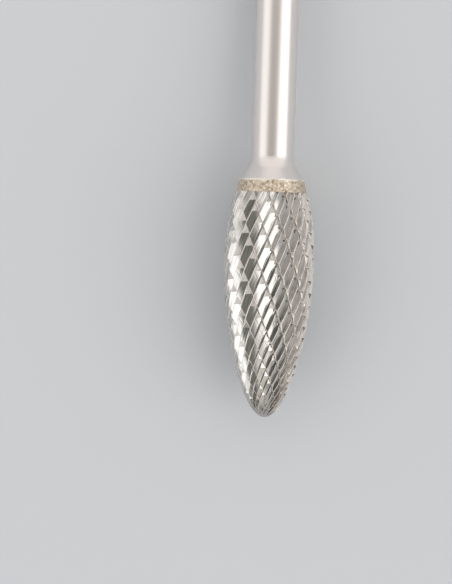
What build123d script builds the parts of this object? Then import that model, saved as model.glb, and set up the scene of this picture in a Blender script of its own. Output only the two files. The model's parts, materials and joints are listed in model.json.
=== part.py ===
# Carbide burr: a flame shaped head of solid carbide, double cut, brazed to a turned steel shank.
# It is built upright, with the tip at z = 0 and the shank along +Z, and laid down at the end
# as it comes to rest on a table: on the belly of the head and the end of the shank.
import math
import os

from build123d import *

# Head
head_diameter = 12.7
head_length = 31.75  # the toothed part, from the tip
belly_height = 21.9  # from the tip to the widest place
back_diameter = 10.2  # where the teeth start
tip_height = 0.3  # the smooth tip, which the flutes start from
tip_radius = 1.48

# Flutes: a right-hand helix. Sizes across a tooth are parts of the pitch, depths parts of the radius
flute_count = 26
flute_angle = 23.1  # degrees from the axis
flute_phase = -28.8  # where the first cutting edge crosses the belly, in degrees
flute_depth = 0.085
relief_depth = 0.075  # where the tooth's back meets the gullet
land_width = 0.07  # left of the full radius behind each cutting edge
relief_end = 0.66
rake_foot = 0.84  # where the gullet meets the next tooth's cutting face
long_flute_start = 0.3  # every other flute reaches nearly to the tip
long_flute_runout = 1.0  # length over which a flute reaches its depth
short_flute_start = 1.2
short_flute_runout = 1.5
flute_stations = 40

# Chipbreakers: a left-hand helix, steep on one side and sloping on the other
breaker_count = 14
breaker_angle = 23.5
breaker_phase = 9.6
breaker_depth = 0.07
breaker_slope = 0.48
breaker_wall = 0.05
breaker_start = 2.2
breaker_runout = 1.2
breaker_entry = 0.11  # how far above its depth the cutter starts, part of the radius
breaker_clearance = 0.035  # the cutter's height over the surface, part of the radius
breaker_overrun = 0.6  # past the toothed part
breaker_stations = 8

# Back of the head, which the braze holds
back_land_length = 1.45
back_land_diameter = 9.2
back_face_diameter = 8.9
back_land_root = 0.5  # how far the back land starts inside the toothed part

# Braze: between the head's back land and the neck, and squeezed out around both
braze_gap = 0.2
braze_lower_diameter = 9.7
braze_upper_diameter = 9.18

# Shank
shank_diameter = 6.0
overall_length = 77.0
neck_diameter = 9.0
neck_angle = 33.0  # degrees between the neck's cone and the axis
neck_fillet = 3.0
neck_edge = 0.2
neck_edge_radius = 0.1
end_chamfer = 0.5

belly_radius = head_diameter / 2
shank_radius = shank_diameter / 2
marching_step = 0.02
resting_steps = 500


def profile_factors():
    # (r / belly_radius)^2 = s (a + b s + c s^2) with s = z / head_length: a round tip,
    # one greatest diameter at the belly and the back diameter at s = 1
    belly = belly_height / head_length
    back = (back_diameter / head_diameter) ** 2
    c = (back - 2 / belly + 1 / belly**2) / (1 - belly) ** 2
    b = -(1 + 2 * c * belly**3) / belly**2
    a = 2 / belly + c * belly**2
    return a, b, c


factor_a, factor_b, factor_c = profile_factors()


def radius(z):
    s = z / head_length
    return belly_radius * math.sqrt(s * (factor_a + factor_b * s + factor_c * s * s))


def winding(z):
    # Degrees that a helix at 45 degrees to the axis turns between the belly and z
    steps = max(1, round(abs(z - belly_height) / marching_step))
    step = (z - belly_height) / steps
    return math.degrees(sum(step / radius(belly_height + step * (k + 0.5)) for k in range(steps)))


def stations(start, end, count):
    # Heights between start and end, spaced by equal turns of a helix
    turn = (winding(end) - winding(start)) / count
    heights = [start]
    z = start
    turned = 0.0
    while len(heights) < count:
        turned += math.degrees(marching_step / radius(z + marching_step / 2))
        z += marching_step
        if turned >= turn * len(heights):
            heights.append(z)
    return heights + [end]


def on_circle(r, angle, z):
    turn = math.radians(angle)
    return (r * math.sin(turn), -r * math.cos(turn), z)


def reached(z, start, runout):
    # From 0 at the start of a cut to 1 where it has its full depth
    return min(1.0, max(0.0, (z - start) / runout))


def toothed_section(z):
    # The head's whole cross-section: flute_count teeth, each a land, a relieved back and a gullet
    pitch = 360 / flute_count
    first_edge = flute_phase + math.tan(math.radians(flute_angle)) * winding(z)
    corners = []
    for tooth in range(flute_count):
        part = reached(z, long_flute_start, long_flute_runout)
        if tooth % 2:
            part = reached(z, short_flute_start, short_flute_runout)
        edge = first_edge + tooth * pitch
        for across, depth in ((0, 0), (land_width, 0), (relief_end, relief_depth), (rake_foot, flute_depth)):
            corners.append(on_circle(radius(z) * (1 - part * depth), edge + across * pitch, z))
    return Wire.make_polygon(corners, close=True)


def fluted_body():
    # The sections turn by less than half a pitch from one to the next, so that teeth stay with teeth
    return Solid.make_loft([toothed_section(z) for z in stations(tip_height, head_length, flute_stations)])


def breaker_cutter():
    # One left-hand cutter, an unequal V whose upper corners clear the surface
    pitch = 360 / breaker_count
    reach = 1 + breaker_clearance / breaker_depth
    outline = ((-breaker_slope * reach, breaker_clearance), (0, -breaker_depth),
               (breaker_wall * reach, breaker_clearance))
    wires = []
    for z in stations(breaker_start, head_length + breaker_overrun, breaker_stations):
        bottom = breaker_phase - math.tan(math.radians(breaker_angle)) * winding(z)
        lift = breaker_entry * (1 - reached(z, breaker_start, breaker_runout)) ** 2
        wires.append(Wire.make_polygon(
            [on_circle(radius(z) * (1 + height + lift), bottom + across * pitch, z)
             for across, height in outline], close=True))
    return Solid.make_loft(wires)


def back_land():
    root = head_length - back_land_root
    end = head_length + back_land_length
    widening = (back_land_diameter - back_face_diameter) / back_land_length * back_land_root
    outline = Polyline((0, 0, root), ((back_land_diameter + widening) / 2, 0, root),
                       (back_face_diameter / 2, 0, end), (0, 0, end), close=True)
    return revolve(make_face(outline), Axis.Z)


def carbide_head():
    cutter = breaker_cutter()
    breakers = [Rot(0, 0, 360 / breaker_count * k) * cutter for k in range(breaker_count)]
    tip_ball = Pos(0, 0, tip_radius) * Sphere(tip_radius)
    return fluted_body().cut(*breakers).fuse(tip_ball, back_land())


def braze_joint():
    land_end = head_length + back_land_length
    top = land_end + braze_gap
    outline = Polyline(
        (0, 0, land_end), (back_face_diameter / 2, 0, land_end),
        (back_land_diameter / 2, 0, head_length), (braze_lower_diameter / 2, 0, head_length),
        (braze_upper_diameter / 2, 0, top), (0, 0, top), close=True)
    return revolve(make_face(outline), Axis.Z)


def steel_shank():
    start = head_length + back_land_length + braze_gap
    cone_length = (neck_diameter - shank_diameter) / 2 / math.tan(math.radians(neck_angle))
    side = FilletPolyline(
        (neck_diameter / 2 - neck_edge, 0, start), (neck_diameter / 2, 0, start + neck_edge),
        (shank_radius, 0, start + neck_edge + cone_length), (shank_radius, 0, overall_length - end_chamfer),
        radius=[neck_edge_radius, neck_fillet])
    closing = Polyline((shank_radius, 0, overall_length - end_chamfer),
                       (shank_radius - end_chamfer, 0, overall_length), (0, 0, overall_length),
                       (0, 0, start), (neck_diameter / 2 - neck_edge, 0, start))
    return revolve(make_face([side, closing]), Axis.Z)


def resting_slope():
    # The steepest line from the shank's end to the head: both touch the table along it
    end = overall_length - end_chamfer
    heights = [head_length * k / resting_steps for k in range(1, resting_steps + 1)]
    return math.degrees(max(math.atan2(radius(z) - shank_radius, end - z) for z in heights))


def lay_down(pieces):
    laid = [Rot(-90 - resting_slope(), 0, 0) * piece for piece in pieces]
    box = Compound(laid).bounding_box()
    to_origin = Pos(-box.center().X, -box.center().Y, -box.min.Z)
    return [to_origin * piece for piece in laid]


names = ["carbide_head", "braze_joint", "steel_shank"]
pieces = lay_down([carbide_head(), braze_joint(), steel_shank()])
os.makedirs("parts", exist_ok=True)
for name, piece in zip(names, pieces):
    export_step(piece, f"parts/{name}.step", write_pcurves=False)
    box = piece.bounding_box()
    print(name, "volume", round(piece.volume, 3), "from", box.min, "to", box.max)
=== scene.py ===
import json
import math
import bmesh
import bpy
import numpy as np
from mathutils import Matrix, Vector, noise


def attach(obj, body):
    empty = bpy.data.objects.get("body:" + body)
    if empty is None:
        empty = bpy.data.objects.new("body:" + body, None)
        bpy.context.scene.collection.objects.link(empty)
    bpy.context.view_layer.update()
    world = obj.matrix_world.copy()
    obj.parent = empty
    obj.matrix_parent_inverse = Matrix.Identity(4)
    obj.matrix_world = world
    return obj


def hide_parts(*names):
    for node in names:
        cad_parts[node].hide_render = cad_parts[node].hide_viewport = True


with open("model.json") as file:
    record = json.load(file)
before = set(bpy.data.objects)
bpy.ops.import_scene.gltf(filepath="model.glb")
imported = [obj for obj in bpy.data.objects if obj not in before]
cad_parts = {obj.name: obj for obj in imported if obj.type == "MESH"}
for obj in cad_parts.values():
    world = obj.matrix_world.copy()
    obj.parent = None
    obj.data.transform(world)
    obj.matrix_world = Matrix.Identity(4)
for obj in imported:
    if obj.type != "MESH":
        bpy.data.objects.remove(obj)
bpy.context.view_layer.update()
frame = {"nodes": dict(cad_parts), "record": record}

print("stage 1: frame loaded")

# metres and degrees; heights are from the tip
headSizes = {
    "diameter": 0.0127,
    "toothedLength": 0.03175,
    "bellyHeight": 0.0219,
    "backDiameter": 0.0102,
    "backLandDiameter": 0.0091,
    "backLandLength": 0.0014,
    "toothedStart": 0.00008,
    "tipRadius": 0.00148,
    "tipOverlap": 1.1,  # the ball nose's height, in parts of toothedStart
    "tipRings": 6,
    "tipSides": 52,
}
# depths are parts of the radius, and widths and places across a cut are parts of its pitch
toothSizes = {
    "flutes": 26,
    "fluteAngle": 23.1,  # from the axis
    "flutePhase": -28.8,
    "fluteDepth": 0.095,
    "reliefDepth": 0.085,
    "land": 0.08,
    "reliefEnd": 0.72,
    "rakeFoot": 0.86,
    "fluteStarts": (0.00008, 0.0009),  # every other flute starts higher
    "fluteRunouts": (0.0005, 0.0009),
    "deeperTo": 0.004,  # the flutes are deeper up to this height
    "deeperBy": 0.9,
    "breakers": 14,
    "breakerAngle": 23.5,
    "breakerPhase": 9.6,
    "breakerDepth": 0.075,
    "breakerSlope": 0.34,
    "breakerWall": 0.035,
    "breakerLand": 0.045,
    "breakerStart": 0.0022,
    "breakerRunout": 0.0012,
    "unevenness": 0.14,  # the share of its depth that a cut may lack
    "rhythms": (12.99, 78.23),
    "slices": 12,
}
windingPlaces = 6000
weldDistance = 2e-6
tiny = 1e-9

# the burr's own axes in the row frame: alongAxis runs from the tip to the shank's end
shankMount = next(mount for mount in frame["record"]["mounts"] if mount["name"] == "shank")
alongAxis = Vector(shankMount["axis"]).normalized()
rightAxis = Vector((1, 0, 0))
frontAxis = rightAxis.cross(alongAxis).normalized()
mountPoint = Vector(shankMount["pos_m"])


def lowestAlong(name):
    # lowest place of a node's vertices along the axis, from the mount's point
    return min((vertex.co - mountPoint).dot(alongAxis) for vertex in frame["nodes"][name].data.vertices)


tipPoint = mountPoint + lowestAlong("carbide_head") * alongAxis
tipLevel = tipPoint.dot(alongAxis)
burrToFrame = Matrix((rightAxis, -frontAxis, alongAxis)).transposed().to_4x4()
burrToFrame.translation = tipPoint


def profileFactors():
    # (r / belly radius)^2 = s (a + b s + c s^2) with s = z / toothedLength: a round tip, one
    # greatest diameter at the belly and the back diameter at s = 1
    belly = headSizes["bellyHeight"] / headSizes["toothedLength"]
    back = (headSizes["backDiameter"] / headSizes["diameter"]) ** 2
    c = (back - 2 / belly + 1 / belly**2) / (1 - belly) ** 2
    return 2 / belly + c * belly**2, -(1 + 2 * c * belly**3) / belly**2, c


factorA, factorB, factorC = profileFactors()


def radiusAt(z):
    s = z / headSizes["toothedLength"]
    return headSizes["diameter"] / 2 * np.sqrt(s * (factorA + factorB * s + factorC * s * s))


# winding: the degrees that a helix at 45 degrees to the axis turns between the belly and a height.
# The heights run from the tip to just past the teeth, and lie closer where the head is narrow
heightTable = headSizes["toothedLength"] * np.linspace(0.002, 1.01, windingPlaces) ** 2
middles = (heightTable[1:] + heightTable[:-1]) / 2
windingTable = np.degrees(np.concatenate([[0], np.cumsum(np.diff(heightTable) / radiusAt(middles))]))
windingTable -= np.interp(headSizes["bellyHeight"], heightTable, windingTable)
fluteTurn = math.tan(math.radians(toothSizes["fluteAngle"]))
breakerTurn = math.tan(math.radians(toothSizes["breakerAngle"]))
flutePitch = 360 / toothSizes["flutes"]
breakerPitch = 360 / toothSizes["breakers"]


def windingOf(place):
    # place: (flutes, breakers), counted in pitches from their phases
    turned = place[1] * breakerPitch - place[0] * flutePitch
    return (turned + toothSizes["breakerPhase"] - toothSizes["flutePhase"]) / (fluteTurn + breakerTurn)


def reached(z, start, length):
    return np.clip((z - start) / length, 0, 1)


def cutShare(cut):
    # no two ground cuts are equally deep: two sines out of step stand in for chance
    first, second = toothSizes["rhythms"]
    return 1 - toothSizes["unevenness"] * (np.sin(cut * first) + np.sin(cut * second + 1) + 2) / 4


def surfacePoints(places):
    # where the ground surface lies at each place, in the burr's own axes
    teeth = toothSizes
    across, along = places[:, 0], places[:, 1]
    winding = windingOf((across, along))
    angle = np.radians(across * flutePitch + teeth["flutePhase"] + fluteTurn * winding)
    z = np.interp(winding, windingTable, heightTable)
    tooth, groove = np.floor(across + tiny), np.round(along)
    second = tooth.astype(int) % 2
    start, runout = np.array(teeth["fluteStarts"])[second], np.array(teeth["fluteRunouts"])[second]
    flute = np.interp(across - tooth, [0, teeth["land"], teeth["reliefEnd"], teeth["rakeFoot"], 1],
                      [0, 0, teeth["reliefDepth"], teeth["fluteDepth"], 0])
    deeper = 1 + teeth["deeperBy"] * (1 - reached(z, 0, teeth["deeperTo"])) ** 2
    flute = flute * reached(z, start, runout) * cutShare(tooth % teeth["flutes"]) * deeper
    breaker = np.interp(along - np.floor(along + tiny),
                        [0, teeth["breakerWall"], 1 - teeth["breakerSlope"], 1],
                        [teeth["breakerDepth"], 0, 0, teeth["breakerDepth"]])
    breaker = breaker * reached(z, teeth["breakerStart"], teeth["breakerRunout"])
    breaker = breaker * cutShare(groove % teeth["breakers"] + teeth["flutes"])
    r = radiusAt(z) * (1 - np.maximum(flute, breaker))
    return np.stack([r * np.sin(angle), -r * np.cos(angle), z], 1)


def cellRegions(flute, lower, upper):
    # the flat parts of one tooth in (flute, breaker) pitches, given how deep its three cuts are;
    # a land is what honing leaves along a cutting edge
    teeth = toothSizes
    land, relief, foot, wall = teeth["land"], teeth["reliefEnd"], teeth["rakeFoot"], teeth["breakerWall"]
    slope = 1 - teeth["breakerSlope"]
    reach, rise = [], []
    for breaker in (lower, upper):
        depth = teeth["breakerDepth"] * breaker
        reach.append(land + depth * (relief - land) / (teeth["reliefDepth"] * flute))
        rise.append(1 - depth / (teeth["fluteDepth"] * flute) * (1 - foot))
    crest = teeth["breakerLand"]
    top = wall + crest
    return [
        ("land", [(0, wall), (land, wall), (land, slope), (0, slope)]),
        ("land", [(0, slope), (land, slope), (land, 1), (0, 1)]),
        ("slope", [(land, slope), (reach[1], 1), (land, 1)]),
        ("wall", [(0, 0), (reach[0], 0), (land, wall), (0, wall)]),
        ("land", [(land, wall), (reach[0], 0), (relief, 0), (relief, crest), (reach[0], crest),
                  (land, top)]),
        ("back", [(land, top), (reach[0], crest), (relief, crest), (relief, 1), (reach[1], 1),
                  (land, slope)]),
        ("land", [(relief, 0), (foot, 0), (foot, crest), (relief, crest)]),
        ("gullet", [(relief, crest), (foot, crest), (foot, 1), (relief, 1)]),
        ("land", [(foot, 0), (rise[0], 0), (1, wall), (1, top), (rise[0], crest), (foot, crest)]),
        ("rake", [(foot, crest), (rise[0], crest), (1, top), (1, slope), (rise[1], 1), (foot, 1)]),
        ("slope", [(rise[1], 1), (1, slope), (1, 1)]),
        ("wall", [(rise[0], 0), (1, 0), (1, wall)]),
    ]


def clip(outline, value, limit, below):
    # the part of a convex outline where value(place) is below the limit, or above it
    kept = []
    for k, here in enumerate(outline):
        after = outline[(k + 1) % len(outline)]
        hereOver, afterOver = value(here) - limit, value(after) - limit
        if not below:
            hereOver, afterOver = -hereOver, -afterOver
        if hereOver <= tiny:
            kept.append(here)
        if (hereOver < -tiny and afterOver > tiny) or (hereOver > tiny and afterOver < -tiny):
            share = hereOver / (hereOver - afterOver)
            kept.append((here[0] + share * (after[0] - here[0]), here[1] + share * (after[1] - here[1])))
    return kept if len(kept) > 2 else []


def sliced(outline):
    # cuts a region along the helix, so that it follows the head's curve
    strips = []
    rest = outline
    for k in range(1, toothSizes["slices"]):
        limit = k / toothSizes["slices"]
        strips.append(clip(rest, lambda place: place[1], limit, True))
        rest = clip(rest, lambda place: place[1], limit, False)
    return [strip for strip in strips + [rest] if strip]


def toothedPolygons():
    # every flat part of every tooth between the tip and the back
    low, high = [float(np.interp(headSizes[name], heightTable, windingTable))
                 for name in ("toothedStart", "toothedLength")]
    origin = toothSizes["flutePhase"] - toothSizes["breakerPhase"]
    turn = fluteTurn + breakerTurn
    polygons = []
    for flute in range(toothSizes["flutes"]):
        first = math.floor((low * turn + flute * flutePitch + origin) / breakerPitch) - 1
        last = math.ceil((high * turn + (flute + 1) * flutePitch + origin) / breakerPitch)
        for breaker in range(first, last + 1):
            windings = [windingOf((flute + x, breaker + y)) for x in (0, 1) for y in (0, 1)]
            if min(windings) >= high or max(windings) <= low:
                continue
            shares = [cutShare((breaker + k) % toothSizes["breakers"] + toothSizes["flutes"]) for k in (0, 1)]
            regions = cellRegions(cutShare(flute), *shares)
            for kind, strip in [(kind, strip) for kind, outline in regions for strip in sliced(outline)]:
                outline = [(flute + x, breaker + y) for x, y in strip]
                if max(windings) > high:
                    outline = clip(outline, windingOf, high, True)
                if min(windings) < low:
                    outline = clip(outline, windingOf, low, False)
                if outline:
                    polygons.append((kind, outline))
    return polygons


def closeBack(shaper):
    # the flat face behind the teeth, and the land that sits in the braze
    back = headSizes["toothedLength"]
    radius = headSizes["backLandDiameter"] / 2
    margin = 1e-5
    rim = [e for e in shaper.edges if e.is_boundary and min(v.co.z for v in e.verts) > back - margin]
    for height in (back, back + headSizes["backLandLength"]):
        made = bmesh.ops.extrude_edge_only(shaper, edges=rim)["geom"]
        rim = [e for e in made if isinstance(e, bmesh.types.BMEdge) and e.is_boundary]
        for corner in {v for e in rim for v in e.verts}:
            outwards = Vector((corner.co.x, corner.co.y, 0)).normalized() * radius
            corner.co = (outwards.x, outwards.y, height)
    bmesh.ops.contextual_create(shaper, geom=rim)


def closeTip(shaper):
    # a ball nose, seen only where it stands out below the teeth
    ball, ringCount, sides = headSizes["tipRadius"], headSizes["tipRings"], headSizes["tipSides"]
    seat = math.acos(1 - headSizes["tipOverlap"] * headSizes["toothedStart"] / ball)
    turns = [math.tau * q / sides for q in range(sides)]
    rings = []
    for k in range(1, ringCount + 1):
        lean = seat * k / ringCount
        r, z = ball * math.sin(lean), ball * (1 - math.cos(lean))
        rings.append([shaper.verts.new((r * math.sin(turn), r * math.cos(turn), z)) for turn in turns])
    pole = shaper.verts.new((0, 0, 0))
    for q in range(sides):
        shaper.faces.new((pole, rings[0][q], rings[0][q - 1]))
        for inner, outer in zip(rings, rings[1:]):
            shaper.faces.new((inner[q - 1], inner[q], outer[q], outer[q - 1]))


def addToScene(name, data):
    made = bpy.data.objects.new(name, data)
    bpy.context.scene.collection.objects.link(made)
    return made


def makeHead():
    polygons = toothedPolygons()
    places = np.array([place for kind, outline in polygons for place in outline])
    faces = []
    start = 0
    for kind, outline in polygons:
        faces.append(list(range(start, start + len(outline))))
        start += len(outline)
    mesh = bpy.data.meshes.new("Head")
    mesh.from_pydata([tuple(point) for point in surfacePoints(places)], [], faces)
    # the first material is the ground carbide, the second the honed edge, whose pale colour is partly a
    # painted highlight
    mesh.polygons.foreach_set("material_index", [int(kind == "land") for kind, outline in polygons])
    lay = mesh.uv_layers.new(name="lay")
    lay.data.foreach_set("uv", places.astype(np.float32).ravel())
    shaper = bmesh.new()
    shaper.from_mesh(mesh)
    bmesh.ops.remove_doubles(shaper, verts=shaper.verts, dist=weldDistance)
    closeBack(shaper)
    closeTip(shaper)
    bmesh.ops.recalc_face_normals(shaper, faces=shaper.faces)
    print("polygons", len(shaper.faces), "open edges", sum(e.is_boundary for e in shaper.edges))
    shaper.transform(burrToFrame)
    shaper.to_mesh(mesh)
    shaper.free()
    return addToScene("Head", mesh)


head = makeHead()
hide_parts("carbide_head")
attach(head, "root")
print("stage 2: head made")

# the braze squeezed out between the head and the neck: lumpy, with a wavy upper edge
brazeSizes = {
    "lowerRadius": 0.00487,
    "upperRadius": 0.00455,
    "top": 0.0336,
    "overlap": 0.00004,  # how far it starts below the end of the teeth
    "innerShare": 0.96,
    "edgeWave": 0.00008,
    "edgeWaveSize": 0.0011,
    "lumps": 0.00007,
    "lumpSizes": (0.0009, 0.0003),
    "smallLumpShare": 0.6,
    "turns": 360,
    "rings": 24,
}


def rough(place, size):
    # several sizes of noise together, about -1 to 1
    return noise.fractal(Vector(place) / size, 0.6, 2.2, 4, noise_basis="PERLIN_ORIGINAL")


def lumpsAt(spot):
    # the small lumps are taken elsewhere in the noise, so that they don't repeat the large ones
    large, small = brazeSizes["lumpSizes"]
    return rough(spot, large) + brazeSizes["smallLumpShare"] * rough(spot + Vector((0.1, 0, 0)), small)


def makeBraze():
    band = brazeSizes
    bottom = headSizes["toothedLength"] - band["overlap"]
    innerRadius = headSizes["backLandDiameter"] / 2
    shaper = bmesh.new()
    columns = []
    for q in range(band["turns"]):
        turn = math.tau * q / band["turns"]
        out = Vector((math.sin(turn), -math.cos(turn), 0))
        top = band["top"] + band["edgeWave"] * rough(out * band["lowerRadius"], band["edgeWaveSize"])
        column = [shaper.verts.new(out * innerRadius + Vector((0, 0, bottom)))]
        for k in range(band["rings"]):
            share = k / (band["rings"] - 1)
            z = bottom + share * (top - bottom)
            r = band["lowerRadius"] + share * (band["upperRadius"] - band["lowerRadius"])
            swell = 1 - (2 * share - 1) ** 6  # no lumps at the two edges
            r += band["lumps"] * swell * lumpsAt(out * r + Vector((0, 0, z)))
            column.append(shaper.verts.new(out * r + Vector((0, 0, z))))
        column.append(shaper.verts.new(out * innerRadius * band["innerShare"] + Vector((0, 0, top))))
        columns.append(column)
    for left, right in zip(columns, columns[1:] + columns[:1]):
        for k in range(len(left) - 1):
            shaper.faces.new((left[k], right[k], right[k + 1], left[k + 1])).smooth = True
    bmesh.ops.recalc_face_normals(shaper, faces=shaper.faces)
    shaper.transform(burrToFrame)
    mesh = bpy.data.meshes.new("Braze")
    shaper.to_mesh(mesh)
    shaper.free()
    return addToScene("Braze", mesh)


braze = makeBraze()
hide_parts("braze_joint")
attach(braze, "root")
print("stage 3: braze made")


def feed(tree, socket, value):
    # a value is a number, a colour or another node's output
    if isinstance(value, bpy.types.NodeSocket):
        tree.links.new(value, socket)
    else:
        socket.default_value = value


def node(tree, kind, inputs, **settings):
    # inputs: what goes into the node's sockets, by name or by number
    made = tree.nodes.new(kind)
    for name, value in settings.items():
        setattr(made, name, value)
    for name, value in inputs.items():
        feed(tree, made.inputs[name], value)
    return made


def calculated(tree, operation, *values):
    return node(tree, "ShaderNodeMath", dict(enumerate(values)), operation=operation).outputs[0]


def remapped(tree, value, start, end, low, high, interpolation="LINEAR"):
    # low up to start, high from end on
    inputs = {"Value": value, "From Min": start, "From Max": end, "To Min": low, "To Max": high}
    return node(tree, "ShaderNodeMapRange", inputs, interpolation_type=interpolation).outputs[0]


def partAlong(tree, vector, axis):
    # how far a vector reaches along an axis
    return node(tree, "ShaderNodeVectorMath", {0: vector, 1: axis}, operation="DOT_PRODUCT").outputs["Value"]


def positionOf(tree):
    return node(tree, "ShaderNodeNewGeometry", {}).outputs["Position"]


def levelOnBurr(tree):
    # metres along the burr's axis, with the tip at tipLevel
    return partAlong(tree, positionOf(tree), alongAxis)


def colorRamp(tree, value, stops):
    ramp = node(tree, "ShaderNodeValToRGB", {0: value})
    elements = ramp.color_ramp.elements
    while len(elements) < len(stops):
        elements.new(0.5)
    for element, (place, color) in zip(elements, stops):
        element.position = place
        element.color = (*color, 1)
    return ramp.outputs[0]


def noiseOnTeeth(tree, pattern):
    # noise laid out in flute and breaker pitches, so that it follows the helices
    lay = node(tree, "ShaderNodeUVMap", {}, uv_map="lay")
    scale = (pattern["perFlute"], pattern["perBreaker"], 1)
    placed = node(tree, "ShaderNodeMapping",
                  {"Vector": lay.outputs[0], "Location": pattern["shift"], "Scale": scale})
    inputs = {"Vector": placed.outputs[0], "Scale": 1, "Detail": pattern["detail"],
              "Roughness": pattern["roughness"]}
    return node(tree, "ShaderNodeTexNoise", inputs).outputs[0]


def bumped(tree, height, depth, strength=1):
    # depth: metres
    inputs = {"Height": height, "Distance": depth, "Strength": strength}
    return node(tree, "ShaderNodeBump", inputs).outputs[0]


def makeMaterial(name, build):
    # build(tree) gives what goes into the shader's sockets
    material = bpy.data.materials.new(name)
    material.use_nodes = True
    tree = material.node_tree
    tree.nodes.clear()
    shader = node(tree, "ShaderNodeBsdfPrincipled", build(tree))
    node(tree, "ShaderNodeOutputMaterial", {"Surface": shader.outputs[0]})
    return material


carbideFinish = {
    "colors": ((0.36, (0.33, 0.30, 0.26)), (0.43, (0.47, 0.475, 0.45)), (0.5, (0.60, 0.585, 0.565)),
               (0.6, (0.72, 0.70, 0.68))),
    "streaks": {"perFlute": 5, "perBreaker": 0.7, "shift": (0, 0, 0), "detail": 4, "roughness": 0.62},
    "patches": {"perFlute": 4, "perBreaker": 1.1, "shift": (7.3, 2.1, 0), "detail": 5, "roughness": 0.75},
    "streakShare": 0.5,
    "streakDepth": 0.000014,
    "roughness": 0.1,
    "roughnessSpread": 0.08,
    "shallowStreaks": (0.001, 0.014),  # the streaks deepen between these heights
    "shallowShare": 0.05,
    "tipShadeHeights": (0.0012, 0.0048),  # painted shade: the colour is darker at the tip and lightens between these heights
    "tipShadeShare": 0.75,
    # partly a painted highlight: the honed lands' pale colour also stands in for the glint of the rounded
    # cutting edges
    "honedEdgeAndGlintColor": (0.80, 0.73, 0.67),
    "edgeMetallic": 0.5,
    "edgeRoughness": 0.55,
}


def carbideSurface(tree):
    # ground facets: streaks along the flutes, lighter and darker patches, and painted shade darkening the
    # colour towards the tip
    finish = carbideFinish
    level = levelOnBurr(tree)
    streaks = noiseOnTeeth(tree, finish["streaks"])
    patches = noiseOnTeeth(tree, finish["patches"])
    both = node(tree, "ShaderNodeMix", {0: finish["streakShare"], 2: patches, 3: streaks}, data_type="FLOAT")
    colors = colorRamp(tree, both.outputs[0], finish["colors"])
    # painted shade: the colour is scaled down towards the tip, standing in for the shade among the tip's deep
    # flutes
    start, end = [tipLevel + height for height in finish["tipShadeHeights"]]
    light = remapped(tree, level, start, end, finish["tipShadeShare"], 1)
    shaded = node(tree, "ShaderNodeVectorMath", {0: colors, "Scale": light}, operation="SCALE")
    start, end = [tipLevel + height for height in finish["shallowStreaks"]]
    full = finish["streakDepth"]
    depth = remapped(tree, level, start, end, finish["shallowShare"] * full, full)
    spread = finish["roughnessSpread"] / 2
    rougher = remapped(tree, streaks, 0, 1, finish["roughness"] - spread, finish["roughness"] + spread)
    return {"Metallic": 1, "Base Color": shaded.outputs[0], "Roughness": rougher,
            "Normal": bumped(tree, streaks, depth)}


def honedEdgeAndGlintSurface(tree):
    # the honed lands along the cutting edges, duller and lighter than the ground facets; the lighter, partly
    # diffuse colour is also a painted highlight standing in for the glint of the rounded edges
    return {"Metallic": carbideFinish["edgeMetallic"], "Base Color": (*carbideFinish["honedEdgeAndGlintColor"], 1),
            "Roughness": carbideFinish["edgeRoughness"]}


steelFinish = {"color": (0.86, 0.815, 0.785), "roughness": 0.3, "ringsPerMetre": 9000, "ringDepth": 0.0000015}


def steelSurface(tree):
    # turned steel, with fine rings around the shank
    inputs = {"W": levelOnBurr(tree), "Scale": steelFinish["ringsPerMetre"], "Detail": 2}
    rings = node(tree, "ShaderNodeTexNoise", inputs, noise_dimensions="1D")
    return {"Metallic": 1, "Base Color": (*steelFinish["color"], 1), "Roughness": steelFinish["roughness"],
            "Normal": bumped(tree, rings.outputs[0], steelFinish["ringDepth"])}


brazeFinish = {
    # the grains' tone: its dark end falls in the pits of the same noise's bump, which is painted shade there
    "colors": ((0.36, (0.22, 0.18, 0.12)), (0.45, (0.65, 0.55, 0.425)), (0.54, (0.65, 0.55, 0.425)),
               (0.63, (0.92, 0.87, 0.76))),
    "metallic": 0.75,
    "roughness": 0.42,
    "grainsPerMetre": 2600,
    "grainDepth": 0.00004,
    "grainStrength": 0.8,
    "rimHighlightColor": (0.92, 0.87, 0.76),
    "rim": (0.03325, 0.03345),  # a painted highlight brightens the upper rim between these heights
    "rimWave": 0.0008,
    "rimWavesPerMetre": 900,
}


def brazeSurface(tree):
    # a granular brassy filler, darker in the pits of its bump as painted shade, with a painted highlight
    # along its upper rim
    finish = brazeFinish
    position = positionOf(tree)
    inputs = {"Vector": position, "Scale": finish["grainsPerMetre"], "Detail": 3, "Roughness": 0.7}
    grains = node(tree, "ShaderNodeTexNoise", inputs).outputs[0]
    inputs = {"Vector": position, "Scale": finish["rimWavesPerMetre"], "Detail": 3}
    waves = node(tree, "ShaderNodeTexNoise", inputs).outputs[0]
    level = calculated(tree, "MULTIPLY_ADD", waves, finish["rimWave"], levelOnBurr(tree))
    # painted highlight along the upper rim, standing in for the glint where the rounded edge at the neck
    # catches light
    start, end = [height + tipLevel + finish["rimWave"] / 2 for height in finish["rim"]]
    rim = remapped(tree, level, start, end, 0, 1, "SMOOTHSTEP")
    # the grains set both the tone and the bump, so the dark pits are painted shade
    colors = colorRamp(tree, grains, finish["colors"])
    both = node(tree, "ShaderNodeMix", {0: rim, 6: colors, 7: (*finish["rimHighlightColor"], 1)}, data_type="RGBA")
    return {"Metallic": finish["metallic"], "Base Color": both.outputs[2], "Roughness": finish["roughness"],
            "Normal": bumped(tree, grains, finish["grainDepth"], finish["grainStrength"])}


head.data.materials.append(makeMaterial("Carbide", carbideSurface))
head.data.materials.append(makeMaterial("Honed edge and glint", honedEdgeAndGlintSurface))
frame["nodes"]["steel_shank"].data.materials[0] = makeMaterial("Steel", steelSurface)
braze.data.materials.append(makeMaterial("Braze", brazeSurface))
print("stage 4: finishes made")

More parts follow.
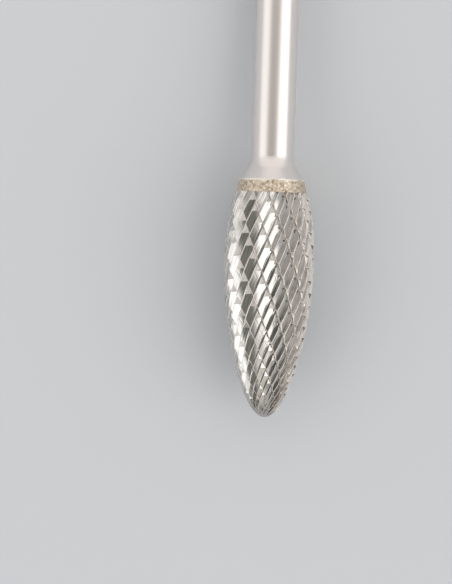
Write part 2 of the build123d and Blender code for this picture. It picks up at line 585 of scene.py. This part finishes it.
# the studio: a plain floor, and a room with soft panels that the burr mirrors
floorLook = {"size": 3.6, "color": (0.66, 0.688, 0.72), "roughness": 0.9, "edgeRise": 0.5}


def floorSurface(tree):
    return {"Base Color": (*floorLook["color"], 1), "Roughness": floorLook["roughness"],
            "Specular IOR Level": 0}


def makeFloor():
    half = floorLook["size"] / 2
    rise = floorLook["edgeRise"]  # the floor's edges sweep up into a low backdrop
    corners = [(-1, -1), (1, -1), (1, 1), (-1, 1)]
    places = [(x * half, y * half, 0) for x, y in corners]
    places += [(x * (half + rise), y * (half + rise), rise) for x, y in corners]
    sides = [(k, k + 4, (k + 1) % 4 + 4, (k + 1) % 4) for k in range(4)]
    mesh = bpy.data.meshes.new("Floor")
    mesh.from_pydata(places, [], [(0, 1, 2, 3)] + sides)
    mesh.materials.append(makeMaterial("Floor", floorSurface))
    floor = addToScene("Floor", mesh)


# each panel: its turn about the burr's axis from the front (positive to the right) and its level
# (positive towards the shank), as centre, half width and soft edge in degrees; later ones lie on top
room = {
    "brightness": 0.92,
    "tint": (1, 0.955, 0.935),
    "panels": {
        "left wall": {"turn": (-110, 75, 24), "level": (-25, 32, 14),
                      "brightness": 1.2, "tint": (1, 0.99, 0.97)},
        "right wall": {"turn": (130, 50, 24), "level": (-25, 36, 14),
                       "brightness": 0.46, "tint": (1, 0.91, 0.80)},
        "low end": {"turn": (0, 200, 1), "level": (-90, 36, 20),
                    "brightness": 0.26, "tint": (1, 0.97, 0.92)},
        "right fill": {"turn": (64, 34, 24), "level": (-54, 16, 16),
                       "brightness": 0.9, "tint": (1, 0.95, 0.87)},
        "front gap": {"turn": (-8, 25, 22), "level": (-40, 46, 14),
                      "brightness": 0.25, "tint": (1, 1, 0.93)},
        "left softbox": {"turn": (-61, 27, 16), "level": (-33, 16, 14),
                         "brightness": 1.85, "tint": (1, 1, 1)},
        "right softbox": {"turn": (51, 24, 14), "level": (-16, 19, 14),
                          "brightness": 2.2, "tint": (1, 0.98, 0.955)},
    },
}


def lightColor(source):
    return (*[source["brightness"] * part for part in source["tint"]], 1)


def within(tree, angle, extent):
    # 1 inside the extent, 0 outside, soft between
    centre, half, soft = extent
    distance = calculated(tree, "ABSOLUTE", calculated(tree, "SUBTRACT", angle, centre))
    return remapped(tree, distance, half - soft / 2, half + soft / 2, 1, 0, "SMOOTHSTEP")


def makeRoom():
    world = bpy.data.worlds.new("Room")
    bpy.context.scene.world = world
    world.use_nodes = True
    tree = world.node_tree
    tree.nodes.clear()
    direction = node(tree, "ShaderNodeTexCoord", {}).outputs["Generated"]
    right, front, along = [partAlong(tree, direction, axis) for axis in (rightAxis, frontAxis, alongAxis)]
    turn = calculated(tree, "DEGREES", calculated(tree, "ARCTAN2", right, front))
    level = calculated(tree, "DEGREES", calculated(tree, "ARCSINE", along))
    light = lightColor(room)
    for panel in room["panels"].values():
        inTurn, inLevel = within(tree, turn, panel["turn"]), within(tree, level, panel["level"])
        share = calculated(tree, "MULTIPLY", inTurn, inLevel)
        mixed = node(tree, "ShaderNodeMix", {0: share, 6: light, 7: lightColor(panel)}, data_type="RGBA")
        light = mixed.outputs[2]
    background = node(tree, "ShaderNodeBackground", {"Color": light})
    node(tree, "ShaderNodeOutputWorld", {"Surface": background.outputs[0]})


makeFloor()
makeRoom()

# the camera looks square to the burr's axis, which leans a little in its view
cameraView = {
    "imageSize": (452, 584),
    "tipPixel": (264.2, 417.0),
    "pixelsPerMetre": 7087.0,
    "lean": 1.85,
    "distance": 1.0,
    "sensorSize": 36.0,  # millimetres
    "farthest": 20,  # metres
}


def makeCamera():
    view = cameraView
    lean = math.radians(view["lean"])
    upwards = math.cos(lean) * alongAxis - math.sin(lean) * rightAxis
    side = math.cos(lean) * rightAxis + math.sin(lean) * alongAxis
    across = (view["imageSize"][0] / 2 - view["tipPixel"][0]) / view["pixelsPerMetre"]
    above = (view["tipPixel"][1] - view["imageSize"][1] / 2) / view["pixelsPerMetre"]
    target = tipPoint + across * side + above * upwards
    data = bpy.data.cameras.new("Camera")
    data.sensor_width = view["sensorSize"]
    data.lens = view["sensorSize"] * view["distance"] * view["pixelsPerMetre"] / max(view["imageSize"])
    data.clip_end = view["farthest"]
    camera = addToScene("Camera", data)
    place = target + view["distance"] * frontAxis
    camera.matrix_world = Matrix.Translation(place) @ Matrix((side, upwards, frontAxis)).transposed().to_4x4()
    bpy.context.scene.camera = camera


makeCamera()
bpy.context.scene.view_settings.view_transform = "Standard"
print("stage 5: surroundings and camera made")
